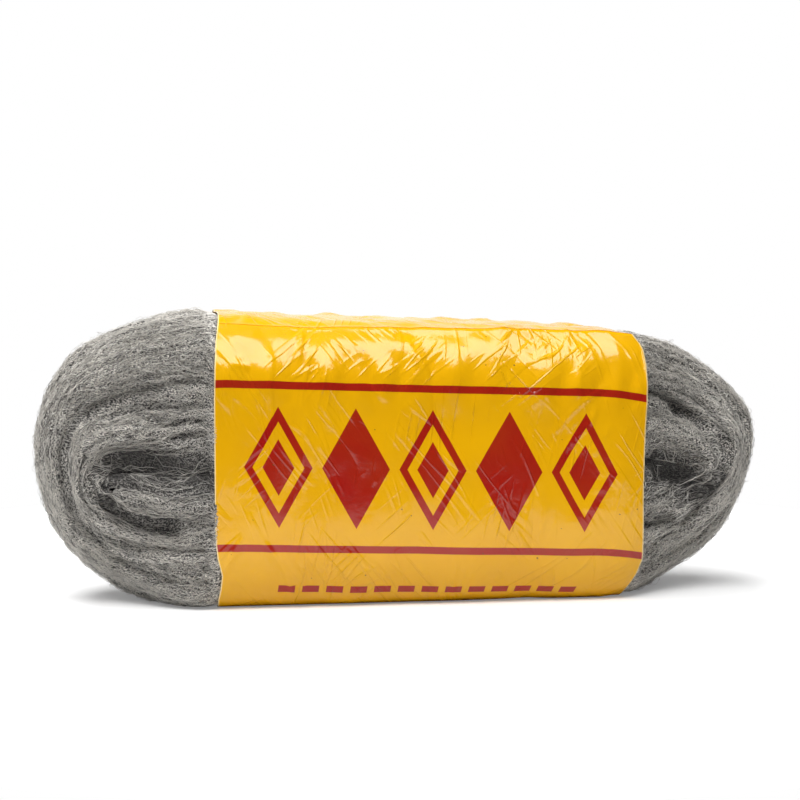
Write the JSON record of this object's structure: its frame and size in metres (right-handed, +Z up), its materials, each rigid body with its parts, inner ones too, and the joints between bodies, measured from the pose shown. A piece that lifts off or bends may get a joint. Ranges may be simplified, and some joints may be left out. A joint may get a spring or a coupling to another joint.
{
  "type": "steel wool pad",
  "caption": "Flattened oval hank of wound steel wool, bulging from both ends of an open sleeve of glossy printed plastic film.",
  "frame": {"origin": "centre of the footprint, on the surface that the pad stands on", "axes": "+X along the pad, towards its slimmer end; +Y through its thickness, towards the back; +Z up"},
  "size_m": [0.2009, 0.0605, 0.0779],
  "materials": {
    "steel_wool": "dull grey mass of fine crossed steel fibres with small bright glints",
    "yellow_film": "glossy yellow polythene film with a plain red printed design"
  },
  "bodies": {
    "root": {"wool_hank": "steel_wool", "film_sleeve": "yellow_film"}
  },
  "joints": []
}
